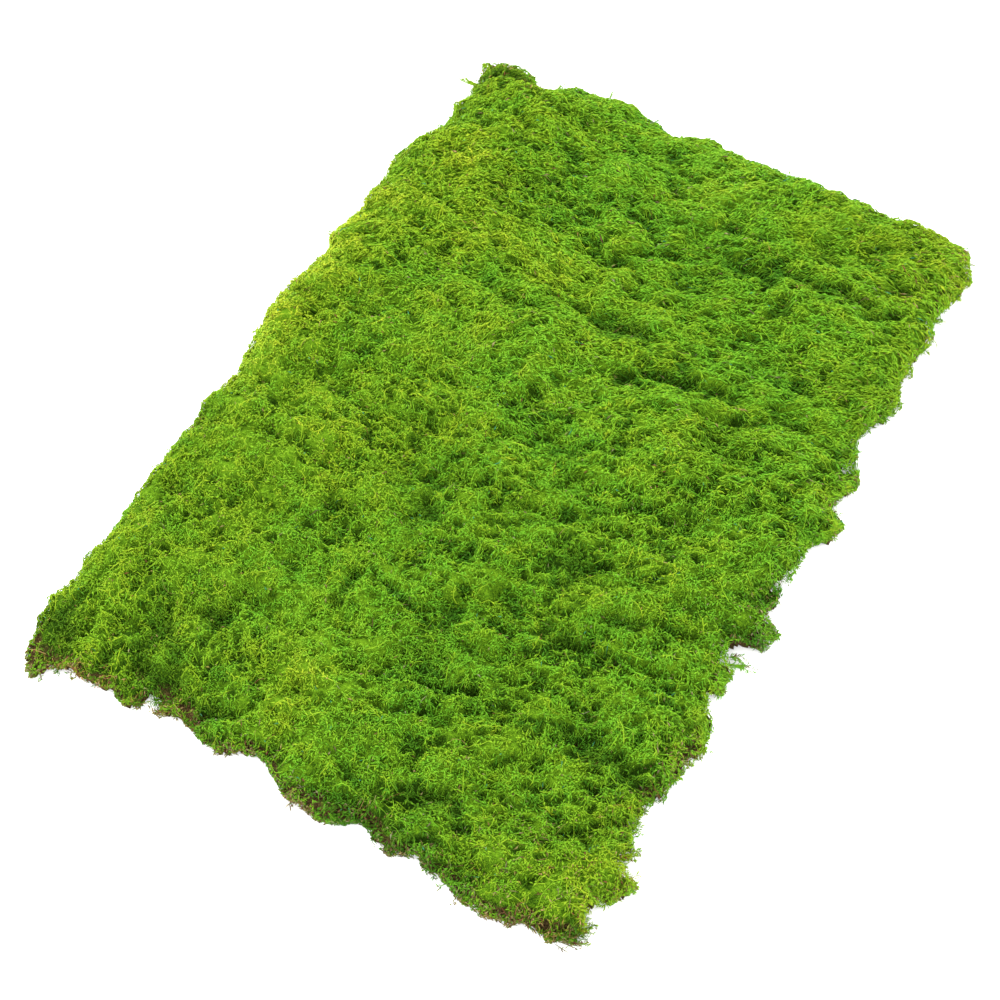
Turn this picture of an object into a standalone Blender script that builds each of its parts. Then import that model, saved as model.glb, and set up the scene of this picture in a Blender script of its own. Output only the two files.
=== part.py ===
"""A mat of feather moss, peeled off the ground in one piece, lying flat.

Blender 4.5, metres, +Z up. The mat grew as one tangled sheet, so it is one solid: its skin passes
through the tips of the shoots. Its underside is flat at z = 0, where it was cut from the ground,
and the middle of its bounding box is at x = y = 0. The long way of the mat runs along Y.
"""

import bmesh
import bpy
import numpy as np
from mathutils import Vector, noise
from mathutils.geometry import delaunay_2d_cdt

# Driving dimensions
LENGTH = 0.600  # along Y, between the straight lines that the far and near edges follow
WIDTH = 0.412  # along X, between the lines of the left and right edges
CREST = 0.029  # height of the tufts' tips above the cut underside
HOLLOW = 0.018  # height of the low places between the tufts
LIP = 0.007  # height of the thin edge, from which the mat swells up
SHOULDER = 0.034  # how far in from the edge the mat reaches its full height
UNDERCUT = 0.003  # how far the cut underside stays back from the edge
CORNERS = {"near_left": 0.022, "near_right": 0.012, "far_right": 0.014, "far_left": 0.020}

EDGE_STEP = 0.0072  # distance between the points of the edge
FIELD_STEP = 0.0135  # distance between the points of the top
TUFT = 0.055  # distance between the broad tufts
KNOT = 0.021  # distance between the small knots on them
FRAY = 0.0022  # how far the fine fraying moves the edge
SEED = 11

# How the edge was torn. Each side has (place along the side from its middle, how far the edge
# stands out there or is torn in, half the width of that lobe or bay), in millimetres.
TEARS = {
    "near": [
        (-184, 15, 18), (-150, 4, 14), (-116, 4, 10), (-88, -5, 22), (-56, 3, 11), (-26, -9, 20),
        (2, 6, 14), (30, 11, 18), (53, -4, 11), (75, 3, 9), (90, -2, 8), (142, 12, 36), (184, 8, 16),
    ],
    "right": [
        (-282, 5, 9), (-252, 10, 17), (-214, -9, 20), (-182, -3, 12), (-158, 7, 20), (-118, -3, 18),
        (-83, -9, 10), (-59, 15, 13), (-14, 2, 12), (34, 17, 23), (51, -9, 8), (69, 10, 16),
        (110, -8, 13), (143, 8, 20), (208, 9, 14), (230, -4, 9), (265, 6, 20),
    ],
    "far": [
        (-196, -15, 30), (-150, -15, 34), (-133, -5, 10), (-82, 5, 18), (-38, -9, 16), (-8, 3, 16),
        (46, 2, 16), (100, 4, 40), (172, 6, 34),
    ],
    "left": [
        (-262, 3, 26), (-200, -2, 24), (-146, 2, 24), (-84, 3, 22), (-54, -3, 12), (10, 9, 60),
        (84, 7, 22), (130, 2, 20), (165, 4, 20), (216, -12, 34), (246, -5, 12), (262, -14, 36),
    ],
}
SET_BACK = {"near": 0.0, "right": 0.0, "far": -0.005, "left": -0.005}  # of a whole side


def rounded_rectangle():
    """Points every EDGE_STEP along a rectangle with round corners, and the outward normal at each."""
    half_x, half_y = WIDTH / 2, LENGTH / 2
    corners = [  # anticlockwise from near right: where it is, its radius, where its arc starts
        (half_x, -half_y, CORNERS["near_right"], -90),
        (half_x, half_y, CORNERS["far_right"], 0),
        (-half_x, half_y, CORNERS["far_left"], 90),
        (-half_x, -half_y, CORNERS["near_left"], 180),
    ]
    rim, ways = [], []
    for x, y, radius, start in corners:
        turns = max(3, round(radius * np.pi / 2 / EDGE_STEP))
        angles = np.radians(start + np.linspace(0, 90, turns + 1))
        way = np.stack([np.cos(angles), np.sin(angles)], 1)
        rim.append(np.array([x - np.sign(x) * radius, y - np.sign(y) * radius]) + radius * way)
        ways.append(way)
    points, normals = [], []
    for arc, way, next_arc in zip(rim, ways, rim[1:] + rim[:1]):
        gap = next_arc[0] - arc[-1]
        count = round(np.linalg.norm(gap) / EDGE_STEP)
        share = np.arange(1, count)[:, None] / count
        points += [arc, arc[-1] + gap * share]
        normals += [way, np.repeat(way[-1:], count - 1, axis=0)]
    return np.concatenate(points), np.concatenate(normals)


def torn_edge():
    """The outline: the rounded rectangle moved along its normals by every tear and by fine fraying."""
    points, normals = rounded_rectangle()
    sides = {  # the side's middle, the way along it, its outward normal
        "near": ((0, -LENGTH / 2), (1, 0), (0, -1)),
        "right": ((WIDTH / 2, 0), (0, 1), (1, 0)),
        "far": ((0, LENGTH / 2), (1, 0), (0, 1)),
        "left": ((-WIDTH / 2, 0), (0, 1), (-1, 0)),
    }
    move = np.zeros(len(points))
    for side, (middle, along, out) in sides.items():
        facing = np.clip(normals @ np.array(out, float), 0, 1)
        move += SET_BACK[side] * facing**2
        for place, reach, half_width in TEARS[side]:
            centre = np.array(middle) + np.array(along) * place * 0.001
            away = np.linalg.norm(points - centre, axis=1) / (half_width * 0.001)
            bump = np.where(away < 1, 0.5 + 0.5 * np.cos(np.pi * np.minimum(away, 1)), 0)
            move += reach * 0.001 * bump * facing
    rng = np.random.default_rng(SEED)
    move += FRAY * rng.uniform(-1, 1, len(points))
    outline = points + normals * move[:, None]
    return outline - (outline.max(0) + outline.min(0)) / 2


def edge_normals(outline):
    """The outward normal at each point of the outline, from the points two steps either side."""
    along = np.roll(outline, -2, axis=0) - np.roll(outline, 2, axis=0)
    along /= np.linalg.norm(along, axis=1)[:, None]
    return np.stack([along[:, 1], -along[:, 0]], 1)


def distance_in(points, outline):
    """How far each point is from the outline, and whether it is inside it."""
    start, end = outline, np.roll(outline, -1, axis=0)
    side = end - start
    rel = points[:, None] - start[None]
    share = np.clip((rel * side).sum(2) / (side**2).sum(1), 0, 1)
    away = np.linalg.norm(rel - share[..., None] * side, axis=2).min(1)
    x, y = points[:, :1], points[:, 1:]
    spans = (start[:, 1] > y) != (end[:, 1] > y)
    rise = np.where(side[:, 1] == 0, 1, side[:, 1])
    crossing = start[:, 0] + (y - start[:, 1]) / rise * side[:, 0]
    return away, (spans & (x < crossing)).sum(1) % 2 == 1


def field_points(outline):
    """The top's inner points: rows half a step out of line with each other, slightly out of true."""
    rng = np.random.default_rng(SEED + 1)
    low, high = outline.min(0), outline.max(0)
    rows = np.arange(low[1], high[1], FIELD_STEP * np.sqrt(3) / 2)
    columns = np.arange(low[0], high[0] + FIELD_STEP, FIELD_STEP)
    x = columns[None] + FIELD_STEP / 2 * (np.arange(len(rows)) % 2)[:, None]
    grid = np.stack([x.ravel(), np.repeat(rows, len(columns))], 1)
    grid += rng.uniform(-0.14, 0.14, grid.shape) * FIELD_STEP
    away, inside = distance_in(grid, outline)
    return grid[inside & (away > 0.75 * EDGE_STEP)]


def height(x, y, away):
    """The top's height: tufts and knots between HOLLOW and CREST, brought down to LIP at the edge."""
    tuft = noise.noise(Vector((x / TUFT, y / TUFT, 1.7)))
    knot = noise.noise(Vector((x / KNOT, y / KNOT, 8.3)))
    share = min(max(0.55 + 0.75 * tuft + 0.45 * knot, 0), 1)
    full = HOLLOW + (CREST - HOLLOW) * share
    inward = 1 - min(away / SHOULDER, 1)
    return LIP + (full - LIP) * (1 - inward**2) ** 0.5


def moss_mesh():
    """The closed mat: a lumpy top, a thin torn edge and a flat underside."""
    outline = torn_edge()
    field = field_points(outline)
    flat = [Vector(p) for p in np.concatenate([outline, field])]
    ring = list(range(len(outline)))
    places, _, faces, *_ = delaunay_2d_cdt(flat, [], [ring], 1, 1e-7)
    away, _ = distance_in(np.array(places), outline)
    away[ring] = 0
    mesh = bmesh.new()
    top = [mesh.verts.new((x, y, height(x, y, d))) for (x, y), d in zip(places, away)]
    foot_places = outline - UNDERCUT * edge_normals(outline)
    foot = [mesh.verts.new((x, y, 0)) for x, y in foot_places]
    for corners in faces:
        mesh.faces.new([top[i] for i in corners])
    for i in ring:
        j = (i + 1) % len(ring)
        mesh.faces.new([top[i], foot[i], foot[j], top[j]])
    mesh.faces.new(foot[::-1])
    bmesh.ops.recalc_face_normals(mesh, faces=mesh.faces)
    bmesh.ops.triangulate(mesh, faces=mesh.faces)
    return mesh


def moss_material():
    """Lime green shoots: dull, with no shine of their own."""
    material = bpy.data.materials.new("moss")
    material.use_nodes = True
    shader = material.node_tree.nodes["Principled BSDF"]
    shader.inputs["Base Color"].default_value = (0.13, 0.29, 0.02, 1)
    shader.inputs["Roughness"].default_value = 0.85
    shader.inputs["Metallic"].default_value = 0
    return material


def main():
    """Empties the scene and puts the mat in it."""
    for old in list(bpy.data.objects):
        bpy.data.objects.remove(old)
    mesh = moss_mesh()
    data = bpy.data.meshes.new("moss_mat")
    mesh.to_mesh(data)
    mesh.free()
    data.materials.append(moss_material())
    data.shade_smooth()
    mat = bpy.data.objects.new("moss_mat", data)
    bpy.context.scene.collection.objects.link(mat)


main()
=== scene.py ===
# %% [markdown]
# # A torn mat of feather moss
#
# A carpet moss grows as a tangle of creeping stems. Each stem is a small frond: a thread with short
# leafy side shoots on both sides. Thousands of them lie over and under each other on a brown felt of
# last year's growth. When such a carpet is peeled off the ground it holds together as one mat, with
# ragged edges.
#
# This lesson builds the mat from the inside out: the felt, the fronds that cover it, the pale runners
# that cross them, and the loose strands along the torn edges. Everything is placed on the skin of the
# solid model, which passes through the tips of the shoots.

import math

import bpy
import numpy as np
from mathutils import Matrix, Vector


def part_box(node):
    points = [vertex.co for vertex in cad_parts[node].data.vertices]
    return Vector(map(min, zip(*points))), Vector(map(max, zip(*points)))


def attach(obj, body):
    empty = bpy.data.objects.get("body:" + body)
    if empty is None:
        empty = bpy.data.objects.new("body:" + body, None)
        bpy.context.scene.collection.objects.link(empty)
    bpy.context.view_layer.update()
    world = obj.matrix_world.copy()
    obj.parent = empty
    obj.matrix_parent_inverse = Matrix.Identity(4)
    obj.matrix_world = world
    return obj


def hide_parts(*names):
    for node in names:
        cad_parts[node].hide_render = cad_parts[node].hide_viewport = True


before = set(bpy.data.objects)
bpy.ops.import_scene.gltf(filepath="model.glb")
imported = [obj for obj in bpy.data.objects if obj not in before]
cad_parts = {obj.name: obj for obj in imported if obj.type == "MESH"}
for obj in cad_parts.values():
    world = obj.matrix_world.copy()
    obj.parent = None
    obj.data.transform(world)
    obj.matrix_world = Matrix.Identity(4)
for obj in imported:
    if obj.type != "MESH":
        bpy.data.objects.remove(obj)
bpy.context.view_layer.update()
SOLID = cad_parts["moss_mat"]
LOW, HIGH = (np.array(corner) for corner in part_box("moss_mat"))
MIDDLE = (LOW + HIGH) / 2
SPAN_X, SPAN_Y = (HIGH - LOW)[:2]
print("mat", np.round(HIGH - LOW, 4))

# %% [markdown]
# ## The camera
#
# The mat is seen from above one of its near corners, looking down at about 59 degrees. A lens of
# about 72 mm keeps the perspective gentle.

# %% Camera
AZIMUTH, ELEVATION = 29.94, 58.66  # degrees
CAMERA_AWAY = 2.165 * SPAN_Y
LENS_MM = 71.7


def add_camera():
    """A camera that looks at a point of the floor, from the given azimuth and elevation."""
    turn, rise = math.radians(AZIMUTH), math.radians(ELEVATION)
    back = Vector((math.sin(turn) * math.cos(rise), -math.cos(turn) * math.cos(rise), math.sin(rise)))
    aim = Vector((MIDDLE[0] + 0.0086 * SPAN_X, MIDDLE[1] - 0.0711 * SPAN_Y, 0))
    camera = bpy.data.objects.new("camera", bpy.data.cameras.new("camera"))
    camera.data.lens = LENS_MM
    camera.data.sensor_width = 36
    camera.location = aim + back * CAMERA_AWAY
    camera.rotation_mode = "QUATERNION"
    camera.rotation_quaternion = (-back).to_track_quat("-Z", "Y")
    bpy.context.scene.collection.objects.link(camera)
    bpy.context.scene.camera = camera
    return camera


camera = add_camera()
print("camera at", [round(v, 3) for v in camera.location])

# %% [markdown]
# ## Smooth random fields
#
# Tufts, combing and colour all change slowly over the mat. Each of these is a smooth random field:
# random numbers on a coarse lattice, blended between the lattice points.


# %% Smooth noise
def smooth_noise(x, y, size, seed):
    """Value noise from -1 to 1: random numbers on a lattice of the given size, blended across each
    lattice cell with the smooth step 3t^2 - 2t^3 in both directions."""
    lattice = np.random.default_rng(seed).uniform(-1, 1, (257, 257))
    u, v = x / size + 61.3, y / size + 87.9
    column, row = np.floor(u).astype(int), np.floor(v).astype(int)
    s, t = u - column, v - row
    s, t = s * s * (3 - 2 * s), t * t * (3 - 2 * t)
    column, row = column % 256, row % 256
    near = lattice[row, column] * (1 - s) + lattice[row, column + 1] * s
    far = lattice[row + 1, column] * (1 - s) + lattice[row + 1, column + 1] * s
    return near * (1 - t) + far * t


def rough_noise(x, y, largest, layers, seed):
    """Several layers of smooth noise, each half the size of the last and 0.8 times as strong, added
    and scaled so that most of the result lies between -1 and 1. Each layer's lattice is turned by one
    radian more, so that no lattice shows."""
    total = 0
    for n in range(layers):
        cos, sin = math.cos(n + 0.6), math.sin(n + 0.6)
        turned_x, turned_y = x * cos - y * sin, x * sin + y * cos
        total = total + 0.8**n * smooth_noise(turned_x, turned_y, largest / 2**n, seed + n)
    return 1.4 * total / math.sqrt(sum(0.64**n for n in range(layers)))


# %% [markdown]
# ## The skin of the mat as a height map
#
# The solid model says how high the tips of the shoots reach at every place. To ask it for thousands
# of places at once, its top is turned into a fine grid of heights. A second grid holds how far each
# place is from the torn edge.

# %% Height map of the solid
CELL = 0.0012  # metres between grid lines
MARGIN = 18  # empty cells round the mat
SAMPLES = 28  # sample points along a triangle's side


def skin_map(solid):
    """Every upward triangle is sampled at evenly spread barycentric points, and each grid cell takes
    the mean height of the samples in it. Cells outside the mat stay at zero."""
    mesh = solid.data
    mesh.calc_loop_triangles()
    places = np.empty(len(mesh.vertices) * 3, np.float32)
    mesh.vertices.foreach_get("co", places)
    corners = np.empty(len(mesh.loop_triangles) * 3, np.int32)
    mesh.loop_triangles.foreach_get("vertices", corners)
    a, b, c = places.reshape(-1, 3).astype(float)[corners.reshape(-1, 3)].transpose(1, 0, 2)
    upward = np.cross(b - a, c - a)[:, 2] > 1e-9
    steps = (np.arange(SAMPLES) + 0.33) / SAMPLES
    s, t = (w.ravel() for w in np.meshgrid(steps, steps))
    s, t = s[s + t < 1], t[s + t < 1]
    weights = np.stack([1 - s - t, s, t], 1)
    dots = np.einsum("kw,wnd->nkd", weights, np.stack([a, b, c])[:, upward]).reshape(-1, 3)
    columns = int(SPAN_X / CELL) + 2 * MARGIN
    rows = int(SPAN_Y / CELL) + 2 * MARGIN
    column, row = ((dots[:, :2] - LOW[:2]) / CELL + MARGIN).astype(int).T
    cell = row * columns + column
    count = np.bincount(cell, minlength=rows * columns)
    total = np.bincount(cell, dots[:, 2], minlength=rows * columns)
    return (total / np.maximum(count, 1)).reshape(rows, columns)


def softened(grid, times):
    """The grid blurred: each pass makes every cell the mean of itself and its four neighbours."""
    for _ in range(times):
        grid = (grid + sum(np.roll(grid, way, axis) for way in (-1, 1) for axis in (0, 1))) / 5
    return grid


def peeled_depth(inside):
    """How far each cell is from the outside: the mat is peeled one ring of cells at a time, and a
    cell's depth is the number of rings that went before it."""
    depth = np.zeros(inside.shape)
    left = inside.copy()
    for ring in range(100):
        if not left.any():
            break
        depth += left
        rings = [np.roll(left, way, axis) for way in (-1, 1) for axis in (0, 1)]
        if ring % 2:  # every other ring goes over the corners too, so that a peel stays round
            rings += [np.roll(r, way, 1) for r in rings[2:0:-1] for way in (-1, 1)]
        left = left & np.logical_and.reduce(rings)
    return depth * CELL


SKIN = skin_map(SOLID)
INSIDE = SKIN > 0
EDGE = softened(peeled_depth(INSIDE) - peeled_depth(~INSIDE), 4)  # above 0 inside, below 0 outside
INWARD_Y, INWARD_X = np.gradient(softened(EDGE, 18), CELL)
STEEPNESS = np.maximum(np.hypot(INWARD_X, INWARD_Y), 0.1)
INWARD_X, INWARD_Y = INWARD_X / STEEPNESS, INWARD_Y / STEEPNESS


def read_grid(grid, x, y):
    """The grid's value at any place, blended between the four nearest cell centres."""
    u = np.clip((x - LOW[0]) / CELL + MARGIN - 0.5, 0, grid.shape[1] - 1.001)
    v = np.clip((y - LOW[1]) / CELL + MARGIN - 0.5, 0, grid.shape[0] - 1.001)
    column, row = u.astype(int), v.astype(int)
    s, t = u - column, v - row
    near = grid[row, column] * (1 - s) + grid[row, column + 1] * s
    far = grid[row + 1, column] * (1 - s) + grid[row + 1, column + 1] * s
    return near * (1 - t) + far * t


print("skin", SKIN.shape, "highest", SKIN.max().round(4), "deepest inside", EDGE.max().round(3))

# %% [markdown]
# ## Knots, creases and furrows
#
# Between the broad tufts of the solid, the moss bunches into small knots one to two centimetres wide.
# It was combed across the mat in one bowed sweep, so the knots are longer that way. Small dark pits lie
# between the shoots, and a few deeper furrows and one hole stand out. All of these lower the skin here
# and there, and never raise it. The result is a second height map, of where the tips of the shoots reach.

# %% Where the tips reach
HERE_X, HERE_Y = np.meshgrid(
    LOW[0] + CELL * (np.arange(SKIN.shape[1]) - MARGIN + 0.5),
    LOW[1] + CELL * (np.arange(SKIN.shape[0]) - MARGIN + 0.5),
)
SHARE_X, SHARE_Y = (HERE_X - LOW[0]) / SPAN_X, (HERE_Y - LOW[1]) / SPAN_Y


def eased(start, end, value):
    """0 at start, 1 at end, and a smooth step between them."""
    t = np.clip((value - start) / (end - start), 0, 1)
    return t * t * (3 - 2 * t)


def spot(share_x, share_y, radius):
    """A soft round spot, 1 at its middle, at a place given as shares of the mat's two sides."""
    away_x, away_y = (SHARE_X - share_x) * SPAN_X, (SHARE_Y - share_y) * SPAN_Y
    return np.exp(-(away_x**2 + away_y**2) / radius**2)


def with_spots(grid, *spots):
    """The grid with soft spots added. Each is a place as shares of the mat's two sides, a radius, and
    the change in its middle."""
    for share_x, share_y, radius, change in spots:
        grid = grid + change * spot(share_x, share_y, radius)
    return grid


WINDING = 0.003 * smooth_noise(HERE_X, HERE_Y, 0.015, 16)


def furrow(x0, y0, x1, y1, width):
    """A soft winding furrow, 1 along the line between two places and nearly 0 a width from it."""
    x0, x1, px = x0 * SPAN_X, x1 * SPAN_X, SHARE_X * SPAN_X
    y0, y1, py = y0 * SPAN_Y, y1 * SPAN_Y, SHARE_Y * SPAN_Y + WINDING
    t = ((px - x0) * (x1 - x0) + (py - y0) * (y1 - y0)) / ((x1 - x0) ** 2 + (y1 - y0) ** 2)
    t = np.clip(t, 0, 1)
    away = np.hypot(px - x0 - t * (x1 - x0), py - y0 - t * (y1 - y0))
    return np.exp(-((away / width * 1.6) ** 2))


FURROWS = (  # from one place to another, both as shares of the mat's two sides, and the width
    (0.62, 0.83, 0.86, 0.85, 0.008),
    (0.51, 0.84, 0.60, 0.87, 0.007),
    (0.86, 0.83, 0.90, 0.85, 0.008),
    (0.04, 0.94, 0.13, 0.96, 0.007),
    (0.47, 0.78, 0.54, 0.80, 0.006),
    (0.50, 0.67, 0.58, 0.68, 0.010),
    (0.60, 0.64, 0.75, 0.66, 0.007),
    (0.80, 0.64, 0.87, 0.66, 0.006),
    (0.64, 0.37, 0.71, 0.40, 0.010),
    (0.92, 0.40, 0.97, 0.40, 0.009),
    (0.76, 0.34, 0.81, 0.35, 0.007),
    (0.70, 0.29, 0.76, 0.31, 0.006),
    (0.42, 0.38, 0.45, 0.36, 0.006),
    (0.30, 0.32, 0.34, 0.32, 0.010),
    (0.40, 0.26, 0.40, 0.22, 0.007),
    (0.80, 0.21, 0.96, 0.20, 0.013),
    (0.23, 0.14, 0.27, 0.15, 0.007),
    (0.20, 0.06, 0.26, 0.06, 0.010),
    (0.33, 0.05, 0.37, 0.06, 0.008),
    (0.05, 0.07, 0.07, 0.10, 0.008),
    (0.64, 0.07, 0.70, 0.09, 0.009),
)
BOW, TURN = -0.14, 0.23  # the sweep's slope at the left side, and half of what it gains by the right side
SWEEP_Y = HERE_Y - SPAN_X * (BOW * SHARE_X + TURN * SHARE_X**2)
SWEEP_Y += 0.006 * smooth_noise(HERE_X, HERE_Y, 0.07, 14)
NEAR_LEFT = (1 - eased(0.15, 0.60, SHARE_X)) * (1 - eased(0.10, 0.45, SHARE_Y))


def combed_noise(size, layers, seed):
    """Rough noise drawn out along the sweep, and in the near left part along the mat's long side."""
    swept = rough_noise(HERE_X / 1.8, SWEEP_Y, size, layers, seed)
    along = rough_noise(HERE_X, HERE_Y / 1.5, size, layers, seed)
    return swept * (1 - NEAR_LEFT) + along * NEAR_LEFT


KNOTS = combed_noise(0.019, 3, 11)
FAR = eased(0.38, 0.68, SHARE_Y)  # the far part is combed flatter
CALM = eased(0.0, 0.6, combed_noise(0.042, 2, 26))
PITS = eased(0.20, 0.60, combed_noise(0.0044, 2, 23)) * (1 - 0.7 * CALM)
DENTS = np.max([furrow(*ends) for ends in FURROWS], 0)
HOLE = spot(0.575, 0.62, 0.0055)
CREASE_DEPTH, PIT_DEPTH, FURROW_DEPTH, HOLE_DEPTH = 0.0092, 0.0042, 0.007, 0.012
LOWERED = CREASE_DEPTH * np.clip(0.30 - 0.70 * KNOTS, 0, 1) * (1 - 0.2 * FAR)
LOWERED += PIT_DEPTH * PITS + FURROW_DEPTH * DENTS + HOLE_DEPTH * HOLE
TIPS = np.maximum(SKIN - LOWERED * np.clip(SKIN / 0.02, 0, 1), 0.3 * SKIN)
NEAR_SIDE, RIGHT_SIDE, LEFT_SIDE = (np.clip(way, 0, 1) for way in (INWARD_Y, -INWARD_X, INWARD_X))
LOBES = 0.0022 + 0.0018 * RIGHT_SIDE - 0.0012 * LEFT_SIDE  # lobes are longest on the right side
REACH = 0.0008 - np.maximum(0.0036 * NEAR_SIDE, 0.0046 * RIGHT_SIDE)
REACH += LOBES * rough_noise(HERE_X, HERE_Y, 0.010, 3, 21)
REACH = with_spots(
    REACH,
    (0.961, 0.128, 0.006, -0.010),  # bays where pieces were torn away
    (0.957, 0.062, 0.006, -0.012),
    (0.242, 0.040, 0.005, -0.009),
    (0.945, 0.387, 0.006, -0.010),
    (0.97, 0.17, 0.012, -0.003),  # shallow bays
    (0.97, 0.60, 0.018, -0.002),
    (0.47, 0.02, 0.012, -0.003),
    (0.82, 0.02, 0.012, -0.002),
    (0.92, 0.02, 0.012, -0.003),
    (0.07, 0.99, 0.010, -0.003),
    (0.97, 0.10, 0.010, 0.003),  # lobes
    (0.97, 0.04, 0.008, 0.003),
    (0.97, 0.29, 0.025, 0.003),
    (0.953, 0.287, 0.008, 0.004),
    (0.97, 0.47, 0.012, 0.002),
    (0.97, 0.67, 0.015, 0.002),
    (0.90, 0.98, 0.020, 0.003),
    (0.12, 0.99, 0.012, 0.003),
    (0.07, 0.02, 0.014, 0.002),
    (0.20, 0.02, 0.012, 0.002),
    (0.52, 0.02, 0.012, 0.002),
    (0.67, 0.02, 0.018, 0.002),
)
DOWNHILL_Y, DOWNHILL_X = (-slope for slope in np.gradient(KNOTS, CELL))
RIM = EDGE + REACH  # above 0 where the mat grows
ASIDE = 2.4e-6  # square metres: the slope of the pits times this is how far shoots lie aside of them
ASIDE_Y, ASIDE_X = (-ASIDE * slope for slope in np.gradient(np.maximum(PITS, 5 * HOLE), CELL))
print("pits cover", PITS[INSIDE].mean().round(3), "shoots aside by up to", np.abs(ASIDE_X).max().round(4))


def kept_in(points, reach, give):
    """Points further outside the torn edge than reach are drawn back towards the mat, and keep only
    the share give of what they stuck out."""
    x, y = points[..., 0], points[..., 1]
    over = np.clip(-reach - read_grid(EDGE, x, y), 0, None) * (1 - give)
    points[..., 0] = x + over * read_grid(INWARD_X, x, y)
    points[..., 1] = y + over * read_grid(INWARD_Y, x, y)
    return points


# %% [markdown]
# ## Shoots and threads
#
# A leafy side shoot is pointed at its root and its tip, widest in between, and arched. Four points are
# enough for that: root, tip, and two waist corners that stand above the line between them. The four
# faces close it. So a hundred thousand shoots stay light.
#
# Each shoot carries its own map. Across the map is its tone, which says how old the shoot is and also
# holds the painted light and shade of its place. Up the map lie eight bands, from cool green to warm
# yellow green, and in each band the way up is the way from the shoot's root to its tip. All the colour is
# painted from these numbers, which are called its shade: a tone and a band.

# %% Shoots and threads
MAP = "OFBake"
TONE_STEP = 0.002  # a strand's width on the map, halved
BANDS = 8  # from cool to warm


def across(axis):
    """Two unit vectors square to each axis: one level, one that completes the frame."""
    axis = axis / np.maximum(np.linalg.norm(axis, axis=-1, keepdims=True), 1e-9)
    level = np.stack([-axis[..., 1], axis[..., 0], np.zeros(axis.shape[:-1])], -1)
    size = np.linalg.norm(level, axis=-1, keepdims=True)
    level = np.where(size > 1e-3, level / np.maximum(size, 1e-9), np.array([1.0, 0, 0]))
    return level, np.cross(axis, level)


def arched_shoots(root, tip, arch, wide, roll, shade):
    """Closed four-faced shoots. The waist stands over the middle of the line from root to tip, arch
    above it in a direction turned by roll from upright, and is twice wide across."""
    level, rest = across(tip - root)
    lift = np.cos(roll)[:, None] * rest + np.sin(roll)[:, None] * level
    side = np.cross(tip - root, lift)
    side *= (wide / np.maximum(np.linalg.norm(side, axis=1), 1e-9))[:, None]
    waist = (root + tip) / 2 + arch[:, None] * lift
    points = np.stack([root, waist + side, waist - side, tip], 1)
    pattern = np.array([[0, 1, 2], [0, 3, 1], [0, 2, 3], [1, 3, 2]])
    faces = pattern[None] + 4 * np.arange(len(root))[:, None, None]
    u = shade[:, :1] + np.array([1, 0, 2, 1]) * TONE_STEP
    v = (shade[:, 1:] + np.array([0.02, 0.49, 0.53, 0.98])) / BANDS
    return points.reshape(-1, 3), faces.reshape(-1, 3), np.stack([u, v], -1).reshape(-1, 2)


def threads(line, radius, shade):
    """Closed three-sided threads. Each follows its own line of points: the first and last are its
    pointed ends, and a triangle of the given radius stands round each point between them."""
    count, steps = line.shape[:2]
    rings = steps - 2
    level, rest = across(line[:, 2:] - line[:, :-2])
    angle = np.array([0, 2, 4]) * np.pi / 3 + 0.5
    wide = (radius[:, None] * np.linspace(1, 0.6, rings))[..., None, None]
    ring = line[:, 1:-1, None] + wide * (
        np.cos(angle)[:, None] * level[:, :, None] + np.sin(angle)[:, None] * rest[:, :, None]
    )
    points = np.concatenate([line[:, :1], ring.reshape(count, -1, 3), line[:, -1:]], 1)
    per = 2 + 3 * rings
    side = np.arange(3)
    nxt = (side + 1) % 3
    start = np.stack([np.zeros(3, int), 1 + nxt, 1 + side], 1)
    lower = 1 + 3 * np.arange(rings - 1)[:, None]
    a, b, c, d = lower + side, lower + nxt, lower + 3 + nxt, lower + 3 + side
    walls = np.concatenate([np.stack([a, b, c], -1), np.stack([a, c, d], -1)]).reshape(-1, 3)
    last = 1 + 3 * (rings - 1)
    end = np.stack([last + side, last + nxt, np.full(3, per - 1)], 1)
    pattern = np.concatenate([start, walls, end])
    faces = pattern[None] + per * np.arange(count)[:, None, None]
    u = shade[:, :1] + np.concatenate([[1], np.tile([0, 2, 1], rings), [1]]) * TONE_STEP
    along = np.concatenate([[0.02], np.repeat(np.linspace(0.1, 0.9, rings), 3), [0.98]])
    along = along + np.concatenate([[0], np.tile([0, 0.04, 0.02], rings), [0]])
    v = (shade[:, 1:] + along) / BANDS
    return points.reshape(-1, 3), faces.reshape(-1, 3), np.stack([u, v], -1).reshape(-1, 2)


def joined(*parts):
    """Several (points, faces, map places) as one."""
    starts = np.cumsum([0] + [len(points) for points, _, _ in parts])
    return (
        np.concatenate([points for points, _, _ in parts]),
        np.concatenate([faces + start for (_, faces, _), start in zip(parts, starts)]),
        np.concatenate([places for _, _, places in parts]),
    )


def add_piece(name, shape, material):
    """Puts points, faces and map places in a mesh object that rides on the mat."""
    points, faces, places = shape
    mesh = bpy.data.meshes.new(name)
    mesh.vertices.add(len(points))
    mesh.vertices.foreach_set("co", points.astype(np.float32).ravel())
    mesh.loops.add(faces.size)
    mesh.loops.foreach_set("vertex_index", faces.astype(np.int32).ravel())
    mesh.polygons.add(len(faces))
    mesh.polygons.foreach_set("loop_start", np.arange(0, faces.size, 3, dtype=np.int32))
    mesh.polygons.foreach_set("use_smooth", np.ones(len(faces), bool))
    layer = mesh.uv_layers.new(name=MAP, do_init=False)
    layer.uv.foreach_set("vector", places[faces.ravel()].astype(np.float32).ravel())
    mesh.update(calc_edges=True)
    mesh.validate()
    mesh.materials.append(material)
    piece = bpy.data.objects.new(name, mesh)
    bpy.context.scene.collection.objects.link(piece)
    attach(piece, "root")
    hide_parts("moss_mat")
    print(f"{name}: {len(faces)} triangles")
    return piece


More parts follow.
